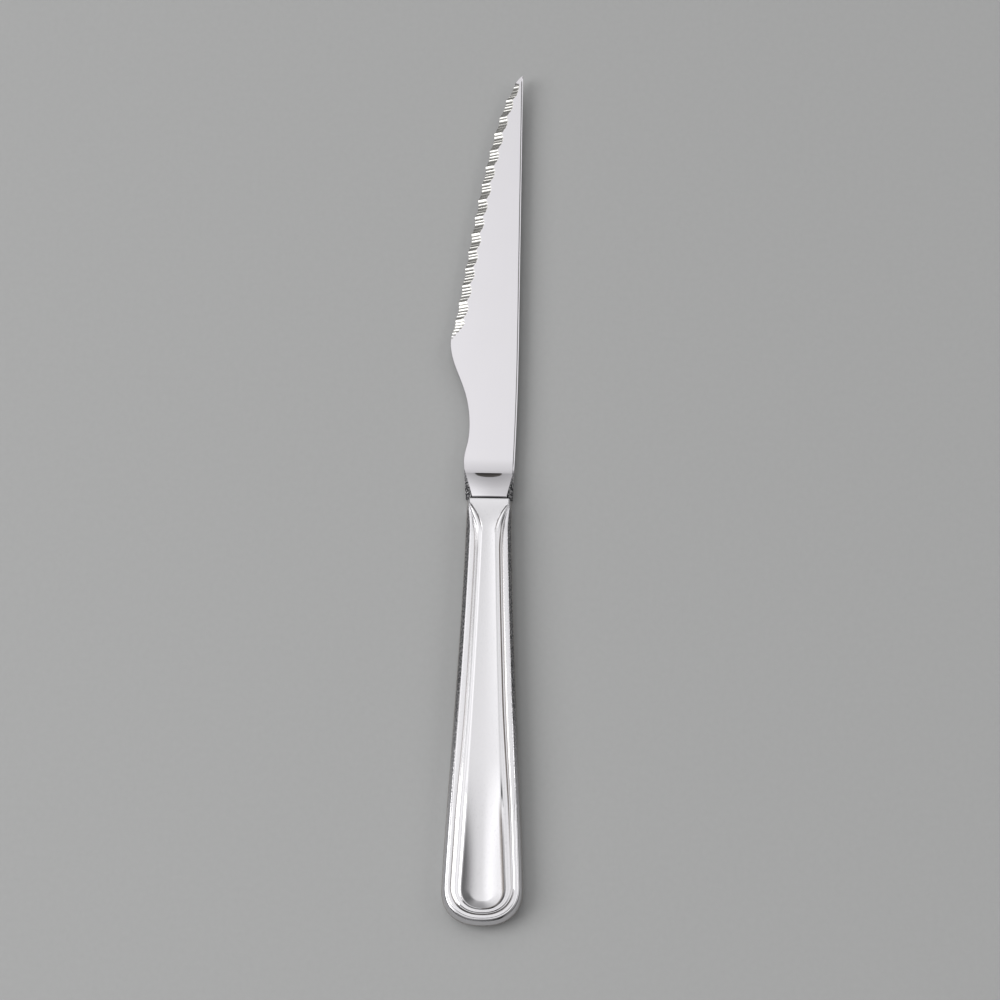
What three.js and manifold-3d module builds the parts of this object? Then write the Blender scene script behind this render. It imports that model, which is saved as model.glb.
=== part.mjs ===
// Table steak knife with a hollow handle.
// A forged blade, with its bolster and tang, is cemented into a handle made of two pressed shells brazed together.
// The knife lies on its side: +Y runs from the butt to the tip, +X points to the spine, and +Z is up.
// The origin is on the surface that the knife lies on, under the middle of its length and width.

import * as THREE from "three";
import { mergeVertices } from "three/addons/utils/BufferGeometryUtils.js";
import Module from "manifold-3d";

const wasm = await Module();
wasm.setup();

// Driving dimensions, in millimetres
// Distances along the knife run from the mouth of the handle, and heights from the seam between the shells.

// Handle, seen from above
const HANDLE_LENGTH = 110.8;
const NECK_WIDTH = 11.2;
const BUTT_WIDTH = 20.1;
const BUTT_LENGTH = 9.0; // rounded end, beyond the tapered sides
const BUTT_SQUARENESS = 2.3; // 2 is an ellipse, more is squarer

// Threaded rim of the handle
const RIM_HEIGHT = 3.3; // flat crest round the panel, on which the knife lies
const CREST_RISE_NECK = 0.04; // from the inner thread up to the crest
const CREST_RISE_BUTT = 0.3;
const THREAD_STEP = 0.16; // from the outer threads up to the inner one
const GROOVE_DEPTH = 0.19; // between the two outer threads
const FAN_START = 1.2; // the rim spreads over the neck from here
const FAN_LENGTH = 9.0;

// Panel inside the rim
const PANEL_WIDTH_NECK = 2.7;
const PANEL_WIDTH_BUTT = 10.6;
const PANEL_END_RIM = 3.9; // width of the rim at the very end
const PANEL_DISH_NECK = 0.08;
const PANEL_DISH_BUTT = 0.62;

// Neck
const NECK_HEIGHT = 2.9;
const NECK_FLAT = 4.8; // half width of its flat top
const MOUTH_FLAT = 4.0; // the same at the mouth, where the corners are rounded off
const MOUTH_ROUNDING = 1.5;
const NECK_RIM = 0.3; // width of the rim before it spreads

// Shells, seam and cement
const SHEET = 0.8;
const SEAM = 0.3;
const SEAM_PROUD = 0.1;
const CEMENT_RECESS = 0.6; // from the mouth
const CLEARANCE = 0.3;

// Blade, seen from above, with offsets from the handle's axis
const BLADE_LENGTH = 119.7;
const BLADE_THICKNESS = 1.6;
const SPINE_OFFSET = 6.95;
const SPINE_DROP = 0.6; // the spine falls this far towards the bolster
const SPINE_DROP_START = 45;
const HEEL = 43.6; // widest place of the blade
const HEEL_OFFSET = 10.9;
const CHOIL = 20.15; // narrowest place of the blade
const CHOIL_OFFSET = 5.55;
const TIP_WIDTH = 0.35;
const SPINE_CHAMFER = 0.45;
const SPINE_CHAMFER_DROP = 0.14;
const EDGE_CHAMFER = 0.3;
const EDGE_CHAMFER_DROP = 0.11;

// Serrations, ground into the upper face
const GRIND_START = 43.9;
const GRIND_GROWTH = 4.5; // length over which the grind grows to its width
const GRIND_WIDTH = 2.1;
const GRIND_WIDTH_TIP = 1.25;
const GRIND_SLOPE = 0.46; // fall of the grind towards the edge
const EDGE_LIP = 0.13;
const FIRST_SCALLOP = 45.15;
const SCALLOP_PITCH = 4.83;
const SCALLOP_DEPTH = 0.42;
const PLAIN_TIP = 1.9; // at least this much is left without scallops

// Bolster
const BOLSTER_START = 10.15;
const BOLSTER_OFFSET_EDGE = 6.8; // where the blade runs into it
const BOLSTER_WIDTH = 12.1; // at the joint
const BOLSTER_HEIGHT = 2.6;
const BOLSTER_CROWN = 0.25;
const BOLSTER_DRAFT = 1.6; // the sides lean in by this much at the joint
const BOLSTER_FLANK = 0.5;
const LEAD_IN = 4.1; // gentle rise of the face before the step
const LEAD_IN_RISE = 0.42;
const STEP_START = 6.8;
const STEP_LENGTH = 1.45; // in the middle
const STEP_HALF = 3.8; // the step dies out at this offset from the axis
const STEP_SLOPE = 0.48;
const JOINT_GAP = 0.4;

// Tang
const TANG_LENGTH = 46;
const TANG_WIDTH = 5.0;
const TANG_END_WIDTH = 3.0;
const TANG_THICKNESS = 1.9;
const TANG_CHAMFER = 0.3;

// Finishes
const POLISHED_STEEL = { color: 0xd9d8dc, roughness: 0.16, metalness: 1 };
const BLADE_STEEL = { color: 0xdcdbdf, roughness: 0.12, metalness: 1 };
const GROUND_BRAZE = { color: 0x8d8a86, roughness: 0.45, metalness: 1 };
const GREY_CEMENT = { color: 0x6f6b64, roughness: 0.9, metalness: 0 };

const { clamp, lerp, smoothstep } = THREE.MathUtils;
const shoulder = HANDLE_LENGTH - BUTT_LENGTH;
const bladeHalf = BLADE_THICKNESS / 2;
const bezier = (...points) => new THREE.CubicBezierCurve(...points.map(([x, y]) => new THREE.Vector2(x, y)));

// Follows a curve whose y always grows to the place with this y
function offsetAt(curve, y) {
  let low = 0;
  let high = 1;
  for (let step = 0; step < 40; step++) {
    const middle = (low + high) / 2;
    if (curve.getPoint(middle).y < y) low = middle;
    else high = middle;
  }
  return curve.getPoint(low).x;
}

// Closed geometry, without repeated corners or empty faces
function closedGeometry(corners, faces) {
  const loose = new THREE.BufferGeometry().setFromPoints(corners);
  loose.setIndex(faces.flat());
  const merged = mergeVertices(loose, 1e-3);
  const kept = [];
  for (let at = 0; at < merged.index.count; at += 3) {
    const [a, b, c] = [0, 1, 2].map((corner) => merged.index.getX(at + corner));
    if (a !== b && b !== c && c !== a) kept.push(a, b, c);
  }
  merged.setIndex(kept);
  return merged;
}

// Skin over sections that follow each other towards the tip, each counter-clockwise seen from the butt
function loft(sections) {
  const count = sections[0].length;
  const last = sections.length - 1;
  const faces = [];
  for (let row = 0; row < last; row++) {
    for (let side = 0; side < count; side++) {
      const next = (side + 1) % count;
      const [a, b] = [row * count + side, row * count + next];
      faces.push([a, b + count, b], [a, a + count, b + count]);
    }
  }
  // A section that is folded flat closes itself and needs no cap
  const isOpen = (section) => Math.abs(THREE.ShapeUtils.area(section.map(({ x, z }) => ({ x, y: z })))) > 1e-3;
  for (let side = 1; side + 1 < count; side++) {
    if (isOpen(sections[0])) faces.push([0, side, side + 1]);
    if (isOpen(sections[last])) faces.push([0, side + 1, side].map((corner) => corner + last * count));
  }
  return closedGeometry(sections.flat(), faces);
}

function solidFrom(geometry) {
  return new wasm.Manifold(
    new wasm.Mesh({
      numProp: 3,
      vertProperties: new Float32Array(geometry.attributes.position.array),
      triVerts: new Uint32Array(geometry.index.array),
    }),
  );
}

function geometryFrom(solid) {
  const { vertProperties, triVerts } = solid.getMesh();
  const geometry = new THREE.BufferGeometry();
  geometry.setAttribute("position", new THREE.BufferAttribute(vertProperties, 3));
  geometry.setIndex(new THREE.BufferAttribute(triVerts, 1));
  return geometry;
}

// Handle in plan
// A row crosses the handle at a distance from the mouth. Past the shoulder, a turn leads it round the butt.
const sideCurve = bezier(
  [NECK_WIDTH / 2, 0],
  [lerp(NECK_WIDTH, BUTT_WIDTH, 0.124) / 2, 0.354 * shoulder],
  [lerp(NECK_WIDTH, BUTT_WIDTH, 0.831) / 2, 0.766 * shoulder],
  [BUTT_WIDTH / 2, shoulder],
);
const panelCurve = bezier(
  [PANEL_WIDTH_NECK / 2, 0],
  [lerp(PANEL_WIDTH_NECK, PANEL_WIDTH_BUTT, 0.21) / 2, 0.355 * shoulder],
  [lerp(PANEL_WIDTH_NECK, PANEL_WIDTH_BUTT, 0.57) / 2, 0.69 * shoulder],
  [PANEL_WIDTH_BUTT / 2, shoulder],
);

function handleRows() {
  const fanEnd = FAN_START + FAN_LENGTH;
  const rows = [0, 0.5].map((share) => ({ distance: share * FAN_START, turn: 0 }));
  for (let step = 0; step < 9; step++) rows.push({ distance: FAN_START + (step / 9) * FAN_LENGTH, turn: 0 });
  for (let step = 0; step < 15; step++) rows.push({ distance: lerp(fanEnd, shoulder, step / 15), turn: 0 });
  for (let step = 0; step <= 11; step++) rows.push({ distance: shoulder, turn: ((step / 11) * Math.PI) / 2 });
  return rows;
}

// Place on the rounded end: shares of its half width and of its length
function roundEnd(turn) {
  const power = 2 / BUTT_SQUARENESS;
  return { across: Math.max(Math.cos(turn), 0) ** power, along: Math.sin(turn) ** power };
}

// Half width and distance of the outline, drawn in by an inset
function outlineAt({ distance, turn }, inset) {
  if (turn === 0) return { half: offsetAt(sideCurve, distance) - inset, distance };
  const { across, along } = roundEnd(turn);
  return { half: (BUTT_WIDTH / 2 - inset) * across, distance: shoulder + (BUTT_LENGTH - inset) * along };
}

// Half width and distance of the panel's edge, which leaves the neck's sides and closes in along the fan
function panelAt(row) {
  const { distance, turn } = row;
  if (turn === 0) {
    const rest = 1 - clamp((distance - FAN_START) / FAN_LENGTH, 0, 1);
    const spread = 1 - rest * rest;
    return { half: lerp(outlineAt(row, NECK_RIM).half, offsetAt(panelCurve, distance), spread), distance };
  }
  const { across, along } = roundEnd(turn);
  return { half: (PANEL_WIDTH_BUTT / 2) * across, distance: shoulder + (BUTT_LENGTH - PANEL_END_RIM) * along };
}

// Rim at a distance from the mouth, as shares of its width and heights: a steep flank, two threads with a groove
// between them, a step up to the inner thread, and the crest
function rimProfile(distance) {
  const rise = lerp(CREST_RISE_NECK, CREST_RISE_BUTT, smoothstep(distance, 0.59 * shoulder, 0.9 * shoulder));
  const inner = RIM_HEIGHT - rise;
  const outer = inner - THREAD_STEP;
  const flankTop = 0.23;
  const flank = [0, 30, 60, 90].map((degrees) => {
    const angle = THREE.MathUtils.degToRad(degrees);
    return { share: flankTop * (1 - Math.cos(angle)), height: lerp(SEAM / 2, outer, Math.sin(angle)) };
  });
  return [
    ...flank,
    { share: 0.405, height: outer },
    { share: 0.468, height: outer - GROOVE_DEPTH },
    { share: 0.53, height: outer },
    { share: 0.58, height: outer },
    { share: 0.63, height: inner },
    { share: 0.86, height: inner },
    { share: 0.95, height: RIM_HEIGHT },
    { share: 1, height: RIM_HEIGHT },
  ];
}

// Height of the plain neck at an offset from the axis
function neckHeight(x, distance) {
  const flat = lerp(MOUTH_FLAT, NECK_FLAT, smoothstep(distance, 0, MOUTH_ROUNDING));
  const beyond = clamp((x - flat) / (NECK_WIDTH / 2 - flat), 0, 1);
  return lerp(NECK_HEIGHT, SEAM / 2, beyond ** 1.5);
}

// One row over the front of the handle, from the spine side to the edge side
function frontSection(row) {
  const { distance, turn } = row;
  const outline = outlineAt(row, 0);
  const panel = panelAt(row);
  const growth = smoothstep(distance, 0.6 * FAN_START, 3 * FAN_START);
  const widening = Math.max(outline.half, 1e-6) / (NECK_WIDTH / 2);
  const points = rimProfile(distance).map(({ share, height }) => {
    const x = lerp(outline.half, panel.half, share);
    return {
      x,
      y: -lerp(outline.distance, panel.distance, share),
      z: lerp(neckHeight(x / widening, distance), height, growth),
    };
  });
  const dishShare = smoothstep(distance, 0.65 * shoulder, 1.02 * shoulder);
  const dish = lerp(PANEL_DISH_NECK, PANEL_DISH_BUTT, dishShare) * Math.max(Math.cos(turn), 0);
  for (const part of [0.75, 0.4, 0]) {
    const x = panel.half * part;
    const height = RIM_HEIGHT - dish * (1 - part * part);
    points.push({ x, y: -panel.distance, z: lerp(neckHeight(x, distance), height, growth) });
  }
  const right = points.map(({ x, y, z }) => new THREE.Vector3(x, y, z));
  const left = points.slice(0, -1).map(({ x, y, z }) => new THREE.Vector3(-x, y, z));
  return [...right, ...left.reverse()];
}

// Hollow of the handle, drawn in by an inset and starting at a distance from the mouth
function hollow(inset, start) {
  const top = RIM_HEIGHT - PANEL_DISH_BUTT - SHEET - inset;
  const rows = handleRows().filter((row) => row.distance > Math.max(start, 0));
  const section = (row, distance) => {
    const outline = outlineAt(row, SHEET + inset);
    const height = top * Math.sqrt(Math.max(Math.cos(row.turn), 0));
    return Array.from({ length: 20 }, (_, side) => {
      const angle = (side / 20) * 2 * Math.PI;
      const [across, up] = [Math.cos(angle), Math.sin(angle)];
      const x = outline.half * Math.sign(across) * Math.sqrt(Math.abs(across));
      return new THREE.Vector3(x, -(distance ?? outline.distance), height * Math.sign(up) * Math.sqrt(Math.abs(up)));
    });
  };
  const mouth = section({ distance: Math.max(start, 0), turn: 0 }, start);
  return solidFrom(loft([mouth, ...rows.map((row) => section(row))].reverse()));
}

// Blade in plan
// The edge runs from the bolster through the choil and round the heel, and then along the serrations to the tip.
const choilCurve = bezier(
  [-BOLSTER_OFFSET_EDGE, BOLSTER_START],
  [-BOLSTER_OFFSET_EDGE, lerp(BOLSTER_START, CHOIL, 0.4)],
  [-CHOIL_OFFSET, lerp(BOLSTER_START, CHOIL, 0.45)],
  [-CHOIL_OFFSET, CHOIL],
);
const heelCurve = bezier(
  [-CHOIL_OFFSET, CHOIL],
  [-CHOIL_OFFSET, lerp(CHOIL, HEEL, 0.5)],
  [-HEEL_OFFSET, lerp(CHOIL, HEEL, 0.66)],
  [-HEEL_OFFSET, HEEL],
);
const tipOffset = SPINE_OFFSET - TIP_WIDTH;
const serratedCurve = bezier(
  [-HEEL_OFFSET, HEEL],
  [lerp(-HEEL_OFFSET, tipOffset, 0.233), lerp(HEEL, BLADE_LENGTH, 0.278)],
  [lerp(-HEEL_OFFSET, tipOffset, 0.507), lerp(HEEL, BLADE_LENGTH, 0.9)],
  [tipOffset, BLADE_LENGTH],
);

function edgeAt(y) {
  if (y >= HEEL) return offsetAt(serratedCurve, y);
  if (y >= CHOIL) return offsetAt(heelCurve, y);
  if (y >= BOLSTER_START) return offsetAt(choilCurve, y);
  return -lerp(BOLSTER_WIDTH / 2, BOLSTER_OFFSET_EDGE, clamp(y / BOLSTER_START, 0, 1));
}

function spineAt(y) {
  const along = clamp((SPINE_DROP_START - y) / (SPINE_DROP_START - BOLSTER_START), 0, 1);
  const blade = SPINE_OFFSET - SPINE_DROP * along * along;
  if (y >= BOLSTER_START) return blade;
  return lerp(BOLSTER_WIDTH / 2, blade, clamp(y / BOLSTER_START, 0, 1));
}

// Height of the upper face over the blade's middle. The bolster begins with a short step in its middle and eases out.
function faceHeight(x, y) {
  const lead = LEAD_IN_RISE * clamp((STEP_START + LEAD_IN - y) / LEAD_IN, 0, 1) ** 2;
  const middle = clamp(1 - (x / STEP_HALF) ** 2, 0, 1);
  const length = STEP_LENGTH * middle ** 0.6;
  const step = STEP_SLOPE * clamp(STEP_START - y, 0, length);
  const crown = BOLSTER_CROWN * (x / (BOLSTER_WIDTH / 2)) ** 2;
  const rest = BOLSTER_HEIGHT - crown - bladeHalf - LEAD_IN_RISE - STEP_SLOPE * length;
  const share = clamp((STEP_START - length - y) / (STEP_START - length - JOINT_GAP), 0, 1);
  return bladeHalf + lead + step + rest * (1 - (1 - share) ** 2);
}

// Grind of the edge: it grows from the heel, follows the scallops and ends before the tip
const scallops = Math.floor((BLADE_LENGTH - PLAIN_TIP - FIRST_SCALLOP) / SCALLOP_PITCH);
const lastScallop = FIRST_SCALLOP + scallops * SCALLOP_PITCH;

function grindAt(y) {
  const place = (y - FIRST_SCALLOP) / SCALLOP_PITCH;
  const scalloped = y > FIRST_SCALLOP && y < lastScallop;
  const grown = clamp((y - GRIND_START) / GRIND_GROWTH, 0, 1) ** 0.75;
  const ended = smoothstep(y, lastScallop - EDGE_CHAMFER, lastScallop + EDGE_CHAMFER);
  const towardsTip = clamp((y - GRIND_START) / (lastScallop - GRIND_START), 0, 1) ** 4;
  return {
    scallop: scalloped ? SCALLOP_DEPTH * Math.sin((place - Math.floor(place)) * Math.PI) : 0,
    width: lerp(GRIND_WIDTH, GRIND_WIDTH_TIP, towardsTip) * grown * (1 - ended),
  };
}

// Section of the blade or bolster, from under the spine, over the upper face, to the edge and back underneath
const FACE_PARTS = 6;
const UNDER_PARTS = 4;

function bladeSection(y) {
  const spine = spineAt(y);
  const { scallop, width } = grindAt(y);
  const edge = Math.min(edgeAt(y) + scallop, spine - TIP_WIDTH);
  const across = spine - edge;
  const draftLength = BOLSTER_START - EDGE_CHAMFER;
  const draft = BOLSTER_DRAFT * clamp((draftLength - y) / (draftLength - JOINT_GAP), 0, 1);
  const low = clamp(1 - y / BOLSTER_START, 0, 1);
  const spineFace = spine - Math.min(SPINE_CHAMFER + draft, 0.25 * across);
  const edgeInset = Math.min(EDGE_CHAMFER + draft, 0.25 * across);
  const spineFlank = lerp(faceHeight(spineFace, y) - SPINE_CHAMFER_DROP, BOLSTER_FLANK, low);
  const edgeTop = faceHeight(edge + edgeInset, y);
  const edgeFlank = lerp(edgeTop - EDGE_CHAMFER_DROP, BOLSTER_FLANK, low);
  const grind = Math.min(width, 0.5 * across);
  const ground = grind > edgeInset;
  const face = edge + Math.max(grind, edgeInset);
  const lip = ground ? edgeTop - GRIND_SLOPE * grind : edgeFlank;
  const cut = clamp(grind / GRIND_WIDTH_TIP, 0, 1);
  const under = lerp(-edgeFlank, lip - EDGE_LIP, cut);
  const bevel = edge + Math.max(edgeInset, 0.8 * grind);
  const points = [
    [spine, -spineFlank],
    [spine, spineFlank],
  ];
  for (let part = 0; part <= FACE_PARTS; part++) {
    const x = lerp(spineFace, face, part / FACE_PARTS);
    points.push([x, faceHeight(x, y)]);
  }
  points.push([edge, lip], [edge, under]);
  for (let part = 0; part <= UNDER_PARTS; part++) {
    const x = lerp(bevel, spineFace, part / UNDER_PARTS);
    points.push([x, -faceHeight(x, y)]);
  }
  return points.map(([x, z]) => new THREE.Vector3(x, y, z));
}

// Section of the tang, with as many corners as the blade's, grown by a margin
function tangSection(y, margin) {
  const along = clamp((JOINT_GAP - y) / (JOINT_GAP + TANG_LENGTH), 0, 1);
  const half = lerp(TANG_WIDTH, TANG_END_WIDTH, along) / 2 + margin;
  const up = TANG_THICKNESS / 2 + margin;
  const flank = up - TANG_CHAMFER;
  const inner = half - TANG_CHAMFER;
  const points = [
    [half, -flank],
    [half, flank],
  ];
  for (let part = 0; part <= FACE_PARTS; part++) points.push([lerp(inner, -inner, part / FACE_PARTS), up]);
  points.push([-half, flank], [-half, -flank]);
  for (let part = 0; part <= UNDER_PARTS; part++) points.push([lerp(-inner, inner, part / UNDER_PARTS), -up]);
  return points.map(([x, z]) => new THREE.Vector3(x, y, z));
}

function bladePlaces() {
  const places = [];
  const spread = (from, to, steps) => {
    for (let step = 0; step < steps; step++) places.push(lerp(from, to, step / steps));
  };
  spread(JOINT_GAP, STEP_START, 16);
  spread(STEP_START, STEP_START + LEAD_IN, 6);
  spread(STEP_START + LEAD_IN, GRIND_START, 16);
  spread(GRIND_START, FIRST_SCALLOP, 3);
  spread(FIRST_SCALLOP, lastScallop, 7 * scallops);
  places.push(lastScallop, lastScallop + EDGE_CHAMFER, BLADE_LENGTH);
  return places;
}

function bladeGeometry() {
  const tang = [tangSection(-TANG_LENGTH, 0), tangSection(JOINT_GAP, 0)];
  return loft([...tang, ...bladePlaces().map(bladeSection)]);
}

// Pressed half of the handle
function shellGeometry() {
  const outside = loft(handleRows().map(frontSection).reverse());
  return geometryFrom(solidFrom(outside).subtract(hollow(0, -1)));
}

// Braze between the shells, all the way round from one side of the mouth to the other
function seamGeometry() {
  const side = (inset) => handleRows().map((row) => outlineAt(row, inset));
  const around = (inset) => {
    const right = side(inset).map(({ half, distance }) => new THREE.Vector2(half, -distance));
    const left = side(inset).map(({ half, distance }) => new THREE.Vector2(-half, -distance));
    return [...right, ...left.reverse().slice(1)];
  };
  const strip = new THREE.Shape([...around(-SEAM_PROUD), ...around(SHEET).reverse()]);
  const geometry = new THREE.ExtrudeGeometry(strip, { depth: SEAM, bevelEnabled: false });
  geometry.translate(0, 0, -SEAM / 2);
  return geometry;
}

// Cement in the hollow of the handle, moulded round the tang
function cementGeometry() {
  const around = loft([tangSection(-TANG_LENGTH - CLEARANCE, CLEARANCE), tangSection(JOINT_GAP, CLEARANCE)]);
  return geometryFrom(hollow(CLEARANCE, CEMENT_RECESS).subtract(solidFrom(around)));
}

function piece(name, geometry, finish) {
  const mesh = new THREE.Mesh(geometry, new THREE.MeshStandardMaterial(finish));
  mesh.name = name;
  return mesh;
}

const shell = shellGeometry();
const front = piece("handle_front_shell", shell, POLISHED_STEEL);
const back = piece("handle_back_shell", shell, POLISHED_STEEL);
back.rotation.y = Math.PI;

const knife = new THREE.Group();
knife.add(piece("blade", bladeGeometry(), BLADE_STEEL));
knife.add(front, back);
knife.add(piece("seam_braze", seamGeometry(), GROUND_BRAZE));
knife.add(piece("tang_cement", cementGeometry(), GREY_CEMENT));

// The middle of the knife goes over the origin, and its lowest place on the surface
const bounds = new THREE.Box3().setFromObject(knife);
const middle = bounds.getCenter(new THREE.Vector3());
knife.position.set(-middle.x, -middle.y, -bounds.min.z);

const part = new THREE.Group();
part.add(knife);
export default part;
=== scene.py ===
# Steak knife with a forged, serrated blade and a hollow handle, lying on a plain floor.
# Sizes are in millimetres in the knife's own frame and are turned into metres when a piece is laid out.
# In that frame y runs from the mouth of the handle to the tip, x to the spine, and z up from the seam.

import math

import bpy
import numpy as np
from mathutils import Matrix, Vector


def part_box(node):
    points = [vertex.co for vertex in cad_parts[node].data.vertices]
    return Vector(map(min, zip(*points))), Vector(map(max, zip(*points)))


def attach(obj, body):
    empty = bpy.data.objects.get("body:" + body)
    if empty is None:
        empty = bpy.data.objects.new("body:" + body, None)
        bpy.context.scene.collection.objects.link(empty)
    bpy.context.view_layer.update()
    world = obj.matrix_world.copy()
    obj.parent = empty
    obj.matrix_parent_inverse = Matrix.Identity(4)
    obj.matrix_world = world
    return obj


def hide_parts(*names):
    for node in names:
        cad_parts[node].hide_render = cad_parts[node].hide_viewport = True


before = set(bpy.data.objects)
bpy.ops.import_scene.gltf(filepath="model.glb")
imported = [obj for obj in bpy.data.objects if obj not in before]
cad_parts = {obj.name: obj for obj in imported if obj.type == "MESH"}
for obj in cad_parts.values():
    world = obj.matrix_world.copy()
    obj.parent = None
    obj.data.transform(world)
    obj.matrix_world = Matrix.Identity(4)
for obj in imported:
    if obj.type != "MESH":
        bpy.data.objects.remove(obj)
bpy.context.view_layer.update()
mm = 0.001

# Closest points that are kept apart, in metres, and the least divisor
merge_gap = 1e-6
tiny = 1e-6

# How finely curves and sheets are laid, and from how many degrees an edge stays sharp
curve_points = 500
fan_rows = 60
side_rows = 190
butt_rows = 70
panel_columns = 14
lining_columns = 25
bolster_rows = 80
lead_in_rows = 40
plain_rows = 60
first_flute_rows = 18
scallop_rows = 50
tip_rows = 24
face_columns = 36
grind_columns = 19
back_columns = 16
shell_crease = 20
seam_crease = 50
blade_crease = 25

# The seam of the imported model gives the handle's axis, mouth and middle height.
seam_low, seam_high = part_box("seam_braze")
home = Vector(((seam_low.x + seam_high.x) / 2, seam_high.y, (seam_low.z + seam_high.z) / 2))

# Handle sizes. A run is a stretch of distance from the mouth: a form starts at its first number and is
# complete at its second. If there are four, it starts to fade at the third and is gone at the fourth.
handle_length = 110.8
neck_width = 11.2
butt_width = 20.1
butt_length = 9.0
butt_squareness = 2.3
panel_width_neck = 2.7
panel_width_butt = 10.6
panel_end_rim = 3.8
first_panel_part = 0.93
end_crowding = 0.34
rim_height = 3.3
crest_rise_neck = 0.025
crest_rise_butt = 0.3
crest_run = (70, 91)
panel_dish_neck = 0.05
panel_dish_butt = 0.7
dish_run = (66, 104)
bank_start = 0.62
bank_power = 1.15
groove_cut = 0.14
thread_step = 0.16
inner_step = 0.018
thread_crown = 0.006
face_lift = 0.02
face_line_cut = 0.05
face_line_run = (70, 88)
bend_start = 0.75
bend_height = 0.84
rounding_run = (20, 75)
neck_height = 2.9
neck_flat = 5.1
neck_side_power = 1.5
neck_rounding = 0.3
mouth_rounding = 0.3
mouth_drop = 0.12
rim_run = (0.7, 3.5)
panel_run = (0.7, 8)
fan_bead = 0.12
fan_bead_middle = 0.8
fan_bead_half = 0.2
fan_bead_run = (1, 2.5, 6, 10)
fan_start = 1.2
fan_length = 9.0
sheet_thickness = 0.8
seam_height = 0.3
seam_proud = 0.1
seam_crown = 0.03
thinnest_hollow = 0.02
shoulder = handle_length - butt_length

# Blade sizes
blade_length = 119.7
blade_half = 0.8
spine_offset = 6.95
spine_drop = 0.6
spine_drop_start = 45.0
spine_chamfer = 0.45
spine_chamfer_drop = 0.14
edge_chamfer = 0.08
edge_chamfer_drop = 0.12
chamfer_power = 0.8
widest_inset = 0.25
heel = 43.6
heel_offset = 10.9
choil = 20.15
choil_offset = 5.55
tip_width = 0.35
edge_lip = 0.13
back_bevel = 0.8
first_scallop = 45.15
scallop_pitch = 4.83
scallop_count = 15
scallop_depth = 0.42
first_flute = 43.9
flute_lead = 0.5
flute_growth = 4.5
flute_growth_power = 0.75
grind_width = 1.85
grind_width_tip = 1.25
grind_taper_start = 95
grind_end_run = (-0.5, 0.3)
widest_grind = 0.5
grind_margin = 0.3
grind_slope = 0.46
flute_pitch = scallop_pitch / 5
flute_depth = 0.1
flute_tilt = 0.05
heel_tilt = -0.11
heel_scallops = 3.5
heel_tilt_length = 1
grind_tongue = 0.4
flute_lean = 0.03
bolster_start = 10.15
bolster_offset_edge = 6.8
bolster_width = 12.1
bolster_height = 2.6
bolster_crown = 0.25
bolster_draft = 1.75
bolster_draft_clear = 1.4
bolster_flank = 0.5
bolster_ground = 4
bolster_rows_end = 13
ramp_start = 7.25
lead_in_start = 11.3
lead_in_rise = 0.42
step_length = 1.2
step_slope = 0.36
step_half = 3.4
step_middle = -0.25
step_foot_power = 0.45
notch_wall = 0.01
ramp_power = 1.5
joint_gap = 0.4
joint_drop = 0.15
joint_rounding = 0.35
tang_length = 46.0
tang_width = 5.0
tang_thickness = 1.9
tang_taper = 0.6


def lerp(a, b, share):
    """A share of the way from a to b."""
    return a + (b - a) * share


def smoothstep(value, low, high):
    """Rises smoothly from nothing at low to one at high."""
    share = np.clip((value - low) / (high - low), 0, 1)
    return share * share * (3 - 2 * share)


def along_run(distance, run):
    """How far a form has grown on its run, and faded again if the run says where."""
    grown = smoothstep(distance, *run[:2])
    return grown * (1 - smoothstep(distance, *run[2:])) if len(run) > 2 else grown


def hat(value, middle, half):
    """One at the middle, falling straight to nothing at half a width on either side."""
    return np.clip(1 - np.abs(value - middle) / half, 0, 1)


def ramp_up(value, middle, half):
    """Rises straight from nothing to one across a middle."""
    return np.clip((value - middle + half) / (2 * half), 0, 1)


def bezier(points):
    """Points along a cubic curve."""
    t = np.linspace(0, 1, curve_points)[:, None]
    a, b, c, d = [np.array(p, float) for p in points]
    return (1 - t) ** 3 * a + 3 * (1 - t) ** 2 * t * b + 3 * (1 - t) * t ** 2 * c + t ** 3 * d


def follow(curve, y):
    """Offset of a curve, given as offset and place along the knife, at these places."""
    return np.interp(y, curve[:, 1], curve[:, 0])


# Working on a mesh

def deselect():
    """Leaves edit mode with nothing selected."""
    if bpy.context.object and bpy.context.object.mode != "OBJECT":
        bpy.ops.object.mode_set(mode="OBJECT")
    bpy.ops.object.select_all(action="DESELECT")


def lay_sheet(name, places):
    """Adds a grid with a row for each row of places and presses it onto them."""
    rows, columns = places.shape[:2]
    deselect()
    bpy.ops.mesh.primitive_grid_add(x_subdivisions=columns - 1, y_subdivisions=rows - 1, size=1)
    sheet = bpy.context.object
    sheet.name = name
    sheet.data.name = name
    metres = places.reshape(-1, 3) * mm + np.array(home)
    sheet.data.vertices.foreach_set("co", metres.astype(np.float32).ravel())
    sheet.data.update()
    return sheet


def mark(sheet, finish_or_shade, marks):
    """Says where a sheet has a finish or painted shade, 1, and where it doesn't, 0."""
    layer = sheet.data.attributes.new(finish_or_shade, "FLOAT", "POINT")
    layer.data.foreach_set("value", marks.astype(np.float32).ravel())


def pick(piece):
    """Selects one piece alone."""
    deselect()
    piece.select_set(True)
    bpy.context.view_layer.objects.active = piece


def edit(piece):
    """Opens a piece in edit mode with all of it selected."""
    pick(piece)
    bpy.ops.object.mode_set(mode="EDIT")
    bpy.ops.mesh.select_all(action="SELECT")


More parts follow.
